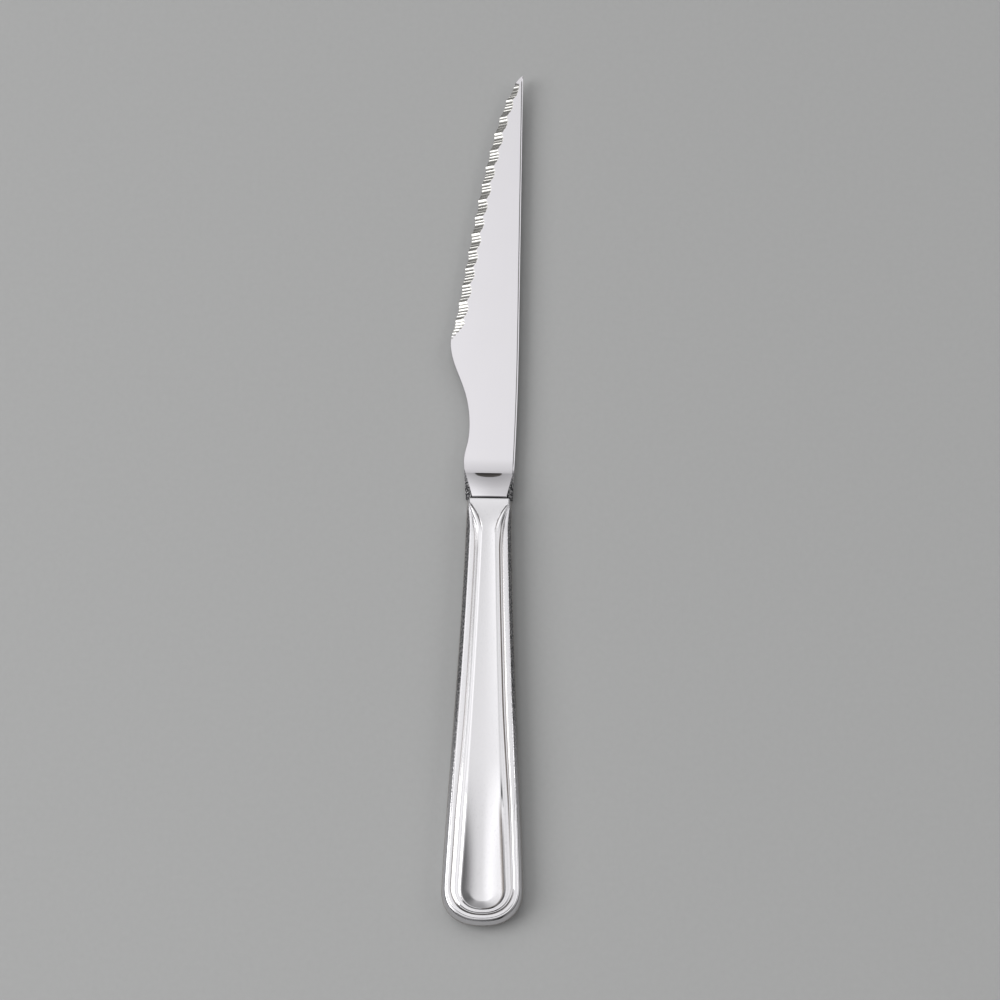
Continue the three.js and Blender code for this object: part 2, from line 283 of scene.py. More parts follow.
def close_up(piece):
    """Merges what meets, closes the open ends and turns the faces outwards."""
    edit(piece)
    bpy.ops.mesh.remove_doubles(threshold=merge_gap)
    bpy.ops.mesh.dissolve_degenerate(threshold=merge_gap)
    bpy.ops.mesh.select_mode(type="EDGE")
    bpy.ops.mesh.select_all(action="DESELECT")
    bpy.ops.mesh.select_non_manifold(extend=False, use_wire=False, use_multi_face=False,
                                     use_non_contiguous=False, use_verts=False)
    bpy.ops.mesh.fill()
    bpy.ops.mesh.select_all(action="SELECT")
    bpy.ops.mesh.normals_make_consistent(inside=False)
    bpy.ops.object.mode_set(mode="OBJECT")


def smooth(piece, degrees):
    """Shades a piece smooth, except at edges sharper than this."""
    pick(piece)
    bpy.ops.object.shade_smooth_by_angle(angle=math.radians(degrees))


# Handle in plan
half_neck, half_butt = neck_width / 2, butt_width / 2
side_curve = bezier([
    (half_neck, 0),
    (lerp(half_neck, half_butt, 0.124), 0.354 * shoulder),
    (lerp(half_neck, half_butt, 0.831), 0.766 * shoulder),
    (half_butt, shoulder),
])
panel_curve = bezier([
    (panel_width_neck / 2, 0),
    (lerp(panel_width_neck, panel_width_butt, 0.21) / 2, 0.355 * shoulder),
    (lerp(panel_width_neck, panel_width_butt, 0.57) / 2, 0.69 * shoulder),
    (panel_width_butt / 2, shoulder),
])


def handle_rows():
    """Distance from the mouth and turn round the butt of each row across the handle."""
    fan_end = fan_start + fan_length
    straight = np.concatenate([
        np.linspace(0, fan_end, fan_rows, endpoint=False),
        np.linspace(fan_end, shoulder, side_rows, endpoint=False),
    ])
    turns = np.linspace(0, math.pi / 2, butt_rows)
    distance = np.concatenate([straight, np.full(len(turns), shoulder)])
    turn = np.concatenate([np.zeros(len(straight)), turns])
    return distance, turn


def superellipse(turn):
    """Shares of the width and the length at a turn round the squarish end of the butt."""
    power = 2 / butt_squareness
    return np.clip(np.cos(turn), 0, 1) ** power, np.clip(np.sin(turn), 0, 1) ** power


def outline(distance, turn, inset):
    """Half width and distance of the outline, drawn in by an inset."""
    across, along = superellipse(turn)
    round_end = turn > 0
    half = np.where(round_end, (half_butt - inset) * across, follow(side_curve, distance) - inset)
    return half, np.where(round_end, shoulder + (butt_length - inset) * along, distance)


def rim_growth(distance):
    """How far the rim has fanned out from the mouth."""
    rest = 1 - np.clip((distance - fan_start) / fan_length, 0, 1)
    return 1 - rest ** 2


def panel_edge(distance, turn):
    """Half width and distance of the panel's edge."""
    across, along = superellipse(turn)
    grown = follow(panel_curve, distance)
    at_mouth = follow(side_curve, distance) - neck_rounding
    half = np.where(turn > 0, panel_width_butt / 2 * across, lerp(at_mouth, grown, rim_growth(distance)))
    return half, np.where(turn > 0, shoulder + (butt_length - panel_end_rim) * along, distance)


# Places across the rim, as shares of its width from the outline to the panel
flank_top = 0.23
face_edge, face_line_half = 0.262, 0.025
outer_groove, groove_half = 0.468, 0.055
thread_edge, thread_half = 0.605, 0.04
inner_edge, inner_half = 0.75, 0.03
crest_foot = 0.87
crest_top = 0.97

# Where the same places lie along the neck, where the threads are drawn in
drawn_in_run = (5, 14, 52, 86)
neck_outer_groove = 0.57
neck_thread_edge = 0.735
neck_inner_edge = 0.84
neck_crest_foot = 0.91

# Points beside a bend in the rim, in halves of its width, and the widest share between two points
bend_margin = 1.3
widest_share = 0.05


def rim_shares():
    """Shares that get a line of points: close together where the rim bends."""
    shares = [flank_top * part for part in (0, 0.2, 0.4, 0.6, 0.74, 0.76, 0.82, 0.88, 0.94, 1)]
    cuts = [flank_top]
    bends = [
        (face_edge, face_line_half), (outer_groove, groove_half),
        (thread_edge, thread_half), (inner_edge, inner_half),
    ]
    for middle, half in bends:
        margin = bend_margin * half
        cuts += [middle - margin, middle - half, middle, middle + half, middle + margin]
    cuts += [crest_foot]
    for start, end in zip(cuts[:-1], cuts[1:]):
        steps = max(1, round((end - start) / widest_share))
        shares += [lerp(start, end, (step + 1) / steps) for step in range(steps)]
    shares += list(np.linspace(crest_foot, crest_top, 7)[1:]) + [0.98, 1]
    return np.array(shares)


def rim_places(shares, distance, turn):
    """Where the shares lie on each row: drawn in along the neck, crowded round the butt."""
    along_neck = along_run(distance, drawn_in_run)
    usual = [0, face_edge, outer_groove, thread_edge, inner_edge, crest_foot, 1]
    at_neck = [0, face_edge, neck_outer_groove, neck_thread_edge, neck_inner_edge, neck_crest_foot, 1]
    drawn_in = np.interp(shares, usual, at_neck) - shares
    crowd = 1 + end_crowding * superellipse(turn)[1][:, None]
    outer = np.minimum(shares, outer_groove) * crowd
    inner = np.clip((shares - outer_groove) / (1 - outer_groove), 0, 1)
    return outer + (1 - outer_groove * crowd) * inner + along_neck[:, None] * drawn_in


def rim_form(shares, distance):
    """Heights over the rim: a steep flank, threads with a groove and two steps, and a low crest."""
    rise = lerp(crest_rise_neck, crest_rise_butt, along_run(distance, crest_run))[:, None]
    level = rim_height - rise - inner_step - thread_step
    climb = np.clip(shares / flank_top, 0, 1)
    bend = np.clip((climb - bend_start) / (1 - bend_start), 0, 1)
    straight = bend_height * np.minimum(climb, bend_start) / bend_start
    wall = (straight + (1 - bend_height) * (1 - (1 - bend) ** 2))[None, :]
    rounded = np.sqrt(1 - (1 - climb) ** 2)[None, :]
    up = lerp(wall, rounded, along_run(distance, rounding_run)[:, None])
    height = lerp(seam_height / 2, level - face_lift, up)
    height = height + face_lift * smoothstep(shares, flank_top, face_edge)
    bounds = [face_edge, outer_groove, thread_edge, inner_edge]
    for start, end in zip(bounds[:-1], bounds[1:]):
        part = np.clip((shares - start) / (end - start), 0, 1)
        height = height + 4 * thread_crown * part * (1 - part)
    height = height - groove_cut * hat(shares, outer_groove, groove_half)
    face_line = face_line_cut * along_run(distance, face_line_run)[:, None]
    height = height - face_line * hat(shares, face_edge, face_line_half)
    height = height + thread_step * ramp_up(shares, thread_edge, thread_half)
    height = height + inner_step * ramp_up(shares, inner_edge, inner_half)
    in_fan = along_run(distance, fan_bead_run)[:, None]
    beside_bead = np.clip(((shares - fan_bead_middle) / fan_bead_half) ** 2, 0, 1)
    height = height - fan_bead * in_fan * beside_bead
    return height + rise * np.clip((shares - crest_foot) / (crest_top - crest_foot), 0, 1)


def neck_form(x):
    """Height of the plain neck at an offset from its axis: flat, with rounded sides."""
    beyond = np.clip((np.abs(x) - neck_flat) / (half_neck - neck_flat), 0, 1)
    return neck_height - (neck_height - seam_height / 2) * beyond ** neck_side_power


def bowl_form(parts, turn):
    """Share of the panel's depth at parts of its half width: a round trough with a steeper end."""
    across, along = [share[:, None] for share in superellipse(turn)]
    reach = ((across * parts) ** butt_squareness + along ** butt_squareness) ** (1 / butt_squareness)
    bank = np.clip((reach - bank_start) / (1 - bank_start), 0, 1) ** bank_power
    endwise = (along / reach.clip(tiny)) ** 2
    return 1 - lerp(reach ** 2, bank, endwise)


def front_form():
    """Rows over the front of the handle, from the spine side to the edge side."""
    distance, turn = handle_rows()
    shares = rim_shares()
    outline_half, outline_at = outline(distance, turn, 0)
    panel_half, panel_at = panel_edge(distance, turn)
    rim_grown = along_run(distance, rim_run)[:, None]
    placed = rim_places(shares, distance, turn)
    rim_x = lerp(outline_half[:, None], panel_half[:, None], placed)
    rim_y = -lerp(outline_at[:, None], panel_at[:, None], placed)
    neck_share = rim_x / outline_half[:, None].clip(tiny) * half_neck
    rim_z = lerp(neck_form(neck_share), rim_form(shares, distance), rim_grown)
    parts = np.linspace(first_panel_part, 0, panel_columns)
    across = panel_half[:, None] * parts
    dip = lerp(panel_dish_neck, panel_dish_butt, along_run(distance, dish_run))
    dish = rim_height - dip[:, None] * bowl_form(parts, turn)
    panel_grown = along_run(distance, panel_run)[:, None]
    panel_z = lerp(neck_form(across), dish, panel_grown)
    panel_y = np.repeat(-panel_at[:, None], len(parts), axis=1)
    right = np.stack([
        np.concatenate([rim_x, across], 1),
        np.concatenate([rim_y, panel_y], 1),
        np.concatenate([rim_z, panel_z], 1),
    ], axis=-1)
    round_off = mouth_drop * np.clip(1 - distance / mouth_rounding, 0, 1)[:, None] ** 2
    right[:, :, 2] = np.maximum(right[:, :, 2] - round_off, seam_height / 2)
    left = right[:, :-1][:, ::-1] * np.array([-1, 1, 1])
    return np.concatenate([right, left], 1)


def inner_form():
    """Rows inside the sheet of the front, from the edge side back to the spine side."""
    distance, turn = handle_rows()
    half, at = outline(distance, turn, sheet_thickness)
    top = (rim_height - panel_dish_butt - sheet_thickness) * np.sqrt(np.clip(np.cos(turn), 0, 1))
    angles = np.linspace(math.pi, 0, lining_columns)
    across = np.sign(np.cos(angles)) * np.sqrt(np.abs(np.cos(angles)))
    up = np.sqrt(np.clip(np.sin(angles), 0, 1))
    x = half[:, None] * across
    y = np.repeat(-at[:, None], len(angles), axis=1)
    z = seam_height / 2 + np.clip(top, thinnest_hollow, None)[:, None] * up
    return np.stack([x, y, z], axis=-1)


def across_shell(spine_rim, edge_rim, skin, lining):
    """Spreads marks on both sides of the rim over the whole section of a shell."""
    rows, count = spine_rim.shape
    panel = np.zeros((rows, skin.shape[1] - 2 * count))
    inside = np.zeros((rows, lining.shape[1]))
    return np.concatenate([spine_rim, panel, edge_rim[:, ::-1], inside, spine_rim[:, :1]], 1)


# Ground flanks with partly painted shade, and painted shade in the rim's grooves, steps and corners: the
# runs on which they show, and how much painted shade there is. A pair of amounts is for the neck and for the
# butt.
ground_flank_painted_shade_run = (0.5, 4, 45, 95)
painted_shade_run = (3, 12)
butt_run = (75, 96)
edge_step_run = (30, 55)
spine_corner_run = (2, 4, 7, 10)
edge_corner_run = (3.8, 5, 6.5, 8)
dish_foot_run = (77, 86)
# Amounts of painted shade, larger on the spine side, which faces away from the lamp
spine_groove_painted_shade = (0.8, 0.25)
edge_groove_painted_shade = (0.6, 0.9)
spine_step_painted_shade = (1, 0.35)
edge_step_painted_shade = 0.3
corner_painted_shade = 0.8
dish_foot_painted_shade = 0.9
panel_foot_share = 0.7
painted_step_shade_inset = 0.02
painted_step_shade_half = 0.035
corner_start = 0.93
corner_length = 0.05


def flank_grinding_and_painted_shade(shares, distance):
    """Where the flank is ground and darkened with painted shade: along the neck, and fading towards the
    butt.
    """
    on_flank = 1 - smoothstep(shares, 0.9 * flank_top, 1.05 * flank_top)
    return on_flank * along_run(distance, ground_flank_painted_shade_run)[:, None]


def rim_painted_shade(shares, distance, turn):
    """Painted shade on the rim's spine side and edge side, and on the panel's first line of points."""
    groove = hat(shares, outer_groove, groove_half)
    from_step = np.abs(shares - thread_edge + painted_step_shade_inset)
    thread_foot = np.clip(1.5 - from_step / painted_step_shade_half, 0, 1)
    corner = np.clip((shares - corner_start) / corner_length, 0, 1)
    from_mouth = along_run(distance, painted_shade_run)
    towards_butt = along_run(distance, butt_run)
    round_end = smoothstep(superellipse(turn)[1], 0, 0.5)
    dish_foot = dish_foot_painted_shade * along_run(distance, dish_foot_run)
    spine_groove = lerp(lerp(*spine_groove_painted_shade, towards_butt), 1, round_end) * from_mouth
    edge_groove = lerp(lerp(*edge_groove_painted_shade, towards_butt), 1, round_end) * from_mouth
    spine_step = lerp(*spine_step_painted_shade, towards_butt) * (1 - round_end) * from_mouth
    edge_step = edge_step_painted_shade * (1 - along_run(distance, edge_step_run)) * from_mouth
    spine_corner = np.maximum(corner_painted_shade * along_run(distance, spine_corner_run), dish_foot)
    edge_corner = corner_painted_shade * along_run(distance, edge_corner_run)
    spine_side = np.maximum(groove * spine_groove[:, None], thread_foot * spine_step[:, None])
    spine_side = np.maximum(spine_side, corner * spine_corner[:, None])
    edge_side = np.maximum(groove * edge_groove[:, None], thread_foot * edge_step[:, None])
    edge_side = np.maximum(edge_side, corner * edge_corner[:, None])
    return spine_side, edge_side, panel_foot_share * dish_foot * (1 - round_end)


def make_shell(name, node, turned):
    """One half of the handle, skin and lining in one closed sheet. The back one is turned over."""
    skin, lining = front_form(), inner_form()
    wrapped = np.concatenate([skin, lining, skin[:, :1]], 1)
    shell = lay_sheet(name, wrapped * np.array([-1, 1, -1]) if turned else wrapped)
    shares = rim_shares()
    distance, turn = handle_rows()
    flank = flank_grinding_and_painted_shade(shares, distance)
    mark(shell, "ground_flank_with_painted_shade", across_shell(flank, flank, skin, lining))
    # Painted shade for the rim's grooves, thread steps and corners, and the panel's first line of points
    spine_side, edge_side, panel_foot = rim_painted_shade(shares, distance, turn)
    painted_shade = across_shell(spine_side, edge_side, skin, lining)
    painted_shade[:, len(shares)] = panel_foot
    mark(shell, "painted_shade_mark", painted_shade)
    close_up(shell)
    smooth(shell, shell_crease)
    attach(shell, "root")
    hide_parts(node)
    return shell


front_shell = make_shell("handle_front", "handle_front_shell", False)
back_shell = make_shell("handle_back", "handle_back_shell", True)


def make_seam(name):
    """Braze strip round the sides and the butt, with a slightly crowned outer face."""
    distance, turn = handle_rows()
    loops = []
    section = [
        (-seam_proud, -0.5), (-seam_proud - seam_crown, 0), (-seam_proud, 0.5),
        (sheet_thickness, 0.5), (sheet_thickness, -0.5), (-seam_proud, -0.5),
    ]
    for inset, height in section:
        half, at = outline(distance, turn, inset)
        side = np.stack([half, -at, np.full(len(half), height * seam_height)], -1)
        loops.append(np.concatenate([side, side[:-1][::-1] * np.array([-1, 1, 1])]))
    seam = lay_sheet(name, np.stack(loops, 1))
    close_up(seam)
    smooth(seam, seam_crease)
    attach(seam, "root")
    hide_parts("seam_braze")
    return seam


seam = make_seam("seam_strip")


# Blade in plan
choil_curve = bezier([
    (-bolster_offset_edge, bolster_start),
    (-bolster_offset_edge, lerp(bolster_start, choil, 0.4)),
    (-choil_offset, lerp(bolster_start, choil, 0.45)),
    (-choil_offset, choil),
])
heel_curve = bezier([
    (-choil_offset, choil),
    (-choil_offset, lerp(choil, heel, 0.5)),
    (-heel_offset, lerp(choil, heel, 0.66)),
    (-heel_offset, heel),
])
tip_offset = spine_offset - tip_width
serrated_curve = bezier([
    (-heel_offset, heel),
    (lerp(-heel_offset, tip_offset, 0.233), lerp(heel, blade_length, 0.278)),
    (lerp(-heel_offset, tip_offset, 0.507), lerp(heel, blade_length, 0.9)),
    (tip_offset, blade_length),
])
bolster_curve = np.array([(-bolster_width / 2, 0), (-bolster_offset_edge, bolster_start)])
edge_curve = np.concatenate([bolster_curve[:-1], choil_curve, heel_curve[1:], serrated_curve[1:]])


def spine_at(y):
    """Offset of the spine, on the bolster and on the blade."""
    along = np.clip((spine_drop_start - y) / (spine_drop_start - bolster_start), 0, 1)
    blade = spine_offset - spine_drop * along ** 2
    bolster = lerp(bolster_width / 2, blade, np.clip(y / bolster_start, 0, 1))
    return np.where(y < bolster_start, bolster, blade)


def step_foot(x):
    """Where the notch in the bolster ends, on the side of the handle."""
    reach = np.clip(1 - ((x - step_middle) / step_half) ** 2, 0, 1)
    return ramp_start - step_length * reach ** step_foot_power


def in_step(y, x):
    """Whether a place is in the notch."""
    return (y <= ramp_start) & (y > step_foot(x))


def face_height(y, x):
    """Half thickness of the blade and of the bolster, which rises to the joint and has a notch."""
    lead = lead_in_rise * np.clip((lead_in_start - y) / (lead_in_start - ramp_start), 0, 1) ** 2
    crown = bolster_crown * np.clip(np.abs(x) / (bolster_width / 2), 0, 1.2) ** 2
    rest = bolster_height - crown - blade_half - lead_in_rise
    share = np.clip((ramp_start - y) / (ramp_start - joint_gap), 0, 1)
    ease = rest * (1 - (1 - share) ** ramp_power)
    step = step_slope * np.where(in_step(y, x), y - step_foot(x), 0)
    round_off = joint_drop * np.clip(1 - (y - joint_gap) / joint_rounding, 0, 1) ** 2
    return blade_half + lead + ease - step - round_off


def blade_form():
    """Rows round the blade and bolster, from the spine over the upper face to the edge and back."""
    last_scallop = first_scallop + scallop_count * scallop_pitch
    before_flutes = first_flute - flute_lead
    y = np.concatenate([
        np.linspace(joint_gap, ramp_start, bolster_rows),
        np.linspace(ramp_start + notch_wall, bolster_rows_end, lead_in_rows, endpoint=False),
        np.linspace(bolster_rows_end, before_flutes, plain_rows, endpoint=False),
        np.linspace(before_flutes, first_scallop, first_flute_rows, endpoint=False),
        np.linspace(first_scallop, last_scallop, scallop_count * scallop_rows, endpoint=False),
        np.linspace(last_scallop, blade_length, tip_rows),
    ])
    spine = spine_at(y)
    edge = follow(edge_curve, y)
    place = (y - first_scallop) / scallop_pitch
    serrated = (y >= first_scallop) & (y <= last_scallop)
    wave = np.where(serrated, np.sin((place % 1) * math.pi), 0)
    opening = smoothstep(y, first_flute, first_scallop + scallop_pitch)
    edge = np.minimum(edge + scallop_depth * wave * opening, spine - tip_width)
    width = spine - edge
    draft_start = bolster_start - bolster_draft_clear
    draft = bolster_draft * np.clip((draft_start - y) / (draft_start - joint_gap), 0, 1)
    spine_inset = np.minimum(np.maximum(spine_chamfer, draft), widest_inset * width)
    edge_inset = np.minimum(np.maximum(edge_chamfer, draft), widest_inset * width)
    spine_top = face_height(y, spine - spine_inset)
    edge_top = face_height(y, edge + edge_inset)
    low = np.clip((bolster_start - y) / bolster_start, 0, 1)
    spine_flank = lerp(spine_top - spine_chamfer_drop, bolster_flank, low)
    edge_flank = lerp(edge_top - edge_chamfer_drop, bolster_flank, low)

    flute_middle = first_scallop + (np.floor((y - first_scallop) / flute_pitch) + 0.5) * flute_pitch
    grown = np.clip((flute_middle - first_flute) / flute_growth, 0, 1) ** flute_growth_power
    ended = smoothstep(y - last_scallop, *grind_end_run)
    to_tip = np.clip((y - grind_taper_start) / (last_scallop - grind_taper_start), 0, 1)
    tapered = lerp(grind_width, grind_width_tip, to_tip ** 2)
    tongue = grind_tongue * wave * opening
    ground = np.minimum((tapered + tongue) * grown * (1 - ended), widest_grind * width)
    grind = np.maximum(ground, edge_inset)
    slope = np.where(ground > edge_inset, grind_slope, (edge_top - edge_flank) / edge_inset)
    cut = np.clip(ground / grind_width_tip, 0, 1)
    across_flute = 2 * ((y - first_scallop) / flute_pitch % 1) - 1
    settled = smoothstep(flute_middle - first_scallop, heel_tilt_length, heel_scallops * scallop_pitch)
    tilt = lerp(heel_tilt, flute_tilt, settled)
    flute = cut * (flute_depth * (1 - across_flute ** 2) + tilt * across_flute)
    lip = edge_top - slope * grind - flute
    bolster_side = 1 - smoothstep(y, bolster_ground, bolster_start)
    columns_x, columns_y, columns_z = [], [], []
    columns_ground_and_painted_shade, columns_fluted, columns_painted_shade = [], [], []

    def add(x, z, shift=0, ground=0, fluted=0):
        """One line of points along the knife, with the finish it has and whether it takes painted shade."""
        columns_x.append(x)
        columns_y.append(y + shift)
        columns_z.append(z)
        columns_ground_and_painted_shade.append(ground * bolster_side)
        columns_fluted.append(fluted * cut)
        # The notch on the upper face is marked for painted shade, a painted dark reflection
        columns_painted_shade.append(np.where(in_step(y, x), z > 0, 0))

    for part in (-1, 0, 1):
        add(spine, part * spine_flank, ground=1)
    for part in (0.33, 0.67, 0.97, 1):
        add(spine - spine_inset * part, lerp(spine_flank, spine_top, part ** chamfer_power), ground=part < 1)
    face_start = spine - spine_inset
    face_end = edge + grind + grind_margin * cut
    lean = flute_lean * cut
    for part in (0.01, *np.linspace(0.03, 0.97, face_columns), 0.99, 1):
        x = lerp(face_start, face_end, part)
        add(x, face_height(y, x), lean * (face_end - edge) * part)
    for part in np.linspace(1, 0, grind_columns)[1:]:
        x = lerp(edge, face_end, part)
        facet = edge_top - slope * (edge + grind - x) - flute
        add(x, np.minimum(face_height(y, x), facet), lean * (x - edge), ground=1, fluted=1)
    under = lerp(-edge_flank, lip - edge_lip, cut)
    add(edge, under, ground=1)
    bevel = np.maximum(edge_inset, back_bevel * ground)
    for part in (0.33, 0.67, 1):
        x = edge + bevel * part
        add(x, lerp(under, -face_height(y, x), part), ground=part < 1)
    for part in np.linspace(0.05, 1, back_columns):
        x = lerp(edge + bevel, spine - spine_inset, part)
        add(x, -face_height(y, x))
    for part in (0.5, 1):
        add(spine - spine_inset * (1 - part), lerp(-spine_top, -spine_flank, part), ground=1)
    ways = [np.stack(columns, 1) for columns in (columns_x, columns_y, columns_z)]
    marks = [np.stack(columns, 1) for columns in (columns_ground_and_painted_shade, columns_fluted, columns_painted_shade)]
    return np.stack(ways, axis=-1), marks


def select_faces(piece, chosen):
    """Selects the faces whose middle and normal are chosen, in edit mode."""
    bpy.ops.object.mode_set(mode="OBJECT")
    for face in piece.data.polygons:
        face.select = chosen(face.center, face.normal)
    bpy.ops.object.mode_set(mode="EDIT")
    bpy.ops.mesh.select_mode(type="FACE")


def make_blade(name):
    """Blade and bolster in one sheet, with the tang drawn out of the end of the bolster."""
    places, marks = blade_form()
    forging = lay_sheet(name, places)
    for finish_or_shade, amounts in zip(("ground_flank_with_painted_shade", "fluted_edge", "painted_shade_mark"), marks):
        mark(forging, finish_or_shade, amounts)
    close_up(forging)
    end = home.y + joint_gap * mm
    edit(forging)
    bpy.ops.mesh.select_all(action="DESELECT")
    select_faces(forging, lambda middle, normal: normal.y < -0.99 and abs(middle.y - end) < 10 * merge_gap)
    pivot = (home.x, end, home.z)
    bpy.ops.mesh.extrude_region_move()
    drawn_in = (tang_width / bolster_width, 1, tang_thickness / (2 * bolster_height))
    bpy.ops.transform.resize(value=drawn_in, center_override=pivot)
    bpy.ops.mesh.extrude_region_move(TRANSFORM_OT_translate={"value": (0, -tang_length * mm, 0)})
    bpy.ops.transform.resize(value=(tang_taper, 1, 1), center_override=pivot)
    bpy.ops.mesh.select_all(action="SELECT")
    bpy.ops.mesh.normals_make_consistent(inside=False)
    smooth(forging, blade_crease)
    return forging


blade = make_blade("blade_forging")
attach(blade, "root")
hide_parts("blade")


# Materials

def add_node(tree, kind, **values):
    """Adds a shader node and sets its inputs by name."""
    node = tree.nodes.new(kind)
    for name, value in values.items():
        node.inputs[name.replace("_", " ")].default_value = value
    return node


def bare_material(name, colour, metallic, roughness):
    """A plain material, with its node tree and its shader to build on."""
    material = bpy.data.materials.new(name)
    material.use_nodes = True
    shader = material.node_tree.nodes["Principled BSDF"]
    shader.inputs["Base Color"].default_value = (*colour, 1)
    shader.inputs["Metallic"].default_value = metallic
    shader.inputs["Roughness"].default_value = roughness
    return material, material.node_tree, shader


def grain(tree, scale, detail, stretch=(1, 1, 1)):
    """Noise on object coordinates, drawn out along the axes whose stretch is small."""
    place = tree.nodes.new("ShaderNodeTexCoord")
    lay = add_node(tree, "ShaderNodeMapping", Scale=stretch)
    noise = add_node(tree, "ShaderNodeTexNoise", Scale=scale, Detail=detail)
    tree.links.new(place.outputs["Object"], lay.inputs["Vector"])
    tree.links.new(lay.outputs["Vector"], noise.inputs["Vector"])
    return noise.outputs["Fac"]


def ranged(tree, value, low, high, start=0.0, end=1.0):
    """Maps a value between start and end onto low to high."""
    spread = add_node(tree, "ShaderNodeMapRange", From_Min=start, From_Max=end, To_Min=low, To_Max=high)
    tree.links.new(value, spread.inputs[0])
    return spread.outputs[0]


def tinted(tree, value, first, second):
    """Blends two plain colours by a value."""
    blend = tree.nodes.new("ShaderNodeMix")
    blend.data_type = "RGBA"
    blend.inputs["A"].default_value = (*first, 1)
    blend.inputs["B"].default_value = (*second, 1)
    tree.links.new(value, blend.inputs["Factor"])
    return blend.outputs["Result"]


def mixed(tree, value, first, second):
    """Blends two colours that come from other nodes."""
    blend = tree.nodes.new("ShaderNodeMix")
    blend.data_type = "RGBA"
    tree.links.new(value, blend.inputs["Factor"])
    tree.links.new(first, blend.inputs["A"])
    tree.links.new(second, blend.inputs["B"])
    return blend.outputs["Result"]


def joined(tree, first, second, operation):
    """Adds or multiplies two values."""
    math_node = tree.nodes.new("ShaderNodeMath")
    math_node.operation = operation
    tree.links.new(first, math_node.inputs[0])
    tree.links.new(second, math_node.inputs[1])
    return math_node.outputs[0]


def bumped(tree, shader, height, depth):
    """Roughens the surface by a height of up to this depth, in metres."""
    bump = add_node(tree, "ShaderNodeBump", Strength=1, Distance=depth)
    tree.links.new(height, bump.inputs["Height"])
    tree.links.new(bump.outputs["Normal"], shader.inputs["Normal"])


def finish_or_shade_mark(tree, finish_or_shade):
    """Where a mesh is marked as having a finish or painted shade."""
    node = tree.nodes.new("ShaderNodeAttribute")
    node.attribute_name = finish_or_shade
    return node.outputs["Fac"]


pit_depth = 0.00025


def blade_steel():
    """Bright steel with faint polishing lines, ground teeth and ground sides on the bolster whose pits are
    partly painted shade, and a painted dark reflection in the bolster's notch.
    """
    material, tree, shader = bare_material("blade_polish", (0.72, 0.71, 0.74), metallic=1, roughness=0.1)
    ground = finish_or_shade_mark(tree, "ground_flank_with_painted_shade")
    fluted = finish_or_shade_mark(tree, "fluted_edge")
    painted_shade = finish_or_shade_mark(tree, "painted_shade_mark")
    lines = grain(tree, scale=1500, detail=3, stretch=(1, 0.03, 1))
    cloud = grain(tree, scale=120, detail=2)
    pits = grain(tree, scale=2100, detail=2)
    shallow = ranged(tree, pits, 0, 1, start=0.46, end=0.62)
    bright = tinted(tree, cloud, (0.73, 0.714, 0.745), (0.715, 0.699, 0.725))
    # Pitted ground finish whose near-black pits are partly painted shade
    dull_pits_with_painted_shade = tinted(tree, shallow, (0.06, 0.06, 0.065), (0.58, 0.57, 0.58))
    wheel_marks = tinted(tree, cloud, (0.56, 0.55, 0.525), (0.62, 0.61, 0.585))
    worked = mixed(tree, ground, mixed(tree, fluted, bright, wheel_marks), dull_pits_with_painted_shade)
    # Painted shade: a dark colour for the notch in the bolster, standing in for its dark reflection
    painted_shade_colour = tinted(tree, pits, (0.2, 0.185, 0.175), (0.27, 0.255, 0.245))
    tree.links.new(mixed(tree, painted_shade, worked, painted_shade_colour), shader.inputs["Base Color"])
    tooled = joined(tree, ranged(tree, ground, 0, 0.3), ranged(tree, fluted, 0, 0.14), "ADD")
    rough_where_painted_shade = joined(tree, tooled, ranged(tree, painted_shade, 0, 0.4), "ADD")
    rough = joined(tree, ranged(tree, lines, 0.08, 0.14), rough_where_painted_shade, "ADD")
    tree.links.new(rough, shader.inputs["Roughness"])
    relief = joined(tree, joined(tree, pits, ground, "MULTIPLY"), ranged(tree, lines, 0, 0.006), "ADD")
    bumped(tree, shader, relief, depth=pit_depth)
    return material


def handle_steel():
    """Polished faces with fine wear, a pitted, ground flank whose dark pits are partly painted shade, and
    painted shade in the rim's grooves, steps and corners.
    """
    polish = (0.72, 0.71, 0.73)
    material, tree, shader = bare_material("handle_polish", polish, metallic=1, roughness=0.12)
    ground = finish_or_shade_mark(tree, "ground_flank_with_painted_shade")
    painted_shade = finish_or_shade_mark(tree, "painted_shade_mark")
    pits = grain(tree, scale=2200, detail=2)
    wear = grain(tree, scale=2600, detail=4)
    scratches = grain(tree, scale=1300, detail=2, stretch=(1, 0.08, 1))
    specks = ranged(tree, wear, 0, 1, start=0.58, end=0.72)
    shallow = ranged(tree, pits, 0, 1, start=0.46, end=0.62)
    worn = tinted(tree, specks, polish, (0.64, 0.63, 0.65))
    # Pitted ground finish whose near-black pits are partly painted shade
    pits_with_painted_shade = tinted(tree, shallow, (0.07, 0.07, 0.075), (0.55, 0.54, 0.55))
    # Painted shade: a dark colour laid in the rim's grooves, steps and corners and at the foot of the dish
    painted_shade_colour = tinted(tree, pits, (0.1, 0.085, 0.075), (0.24, 0.21, 0.19))
    bare = mixed(tree, ground, worn, pits_with_painted_shade)
    tree.links.new(mixed(tree, painted_shade, bare, painted_shade_colour), shader.inputs["Base Color"])
    worked = joined(tree, ranged(tree, ground, 0, 0.25), ranged(tree, painted_shade, 0, 0.25), "ADD")
    rough = joined(tree, ranged(tree, scratches, 0.08, 0.16), worked, "ADD")
    tree.links.new(rough, shader.inputs["Roughness"])
    pitted = joined(tree, pits, ground, "MULTIPLY")
    relief = joined(tree, pitted, ranged(tree, scratches, 0, 0.006), "ADD")
    bumped(tree, shader, relief, depth=pit_depth)
    return material


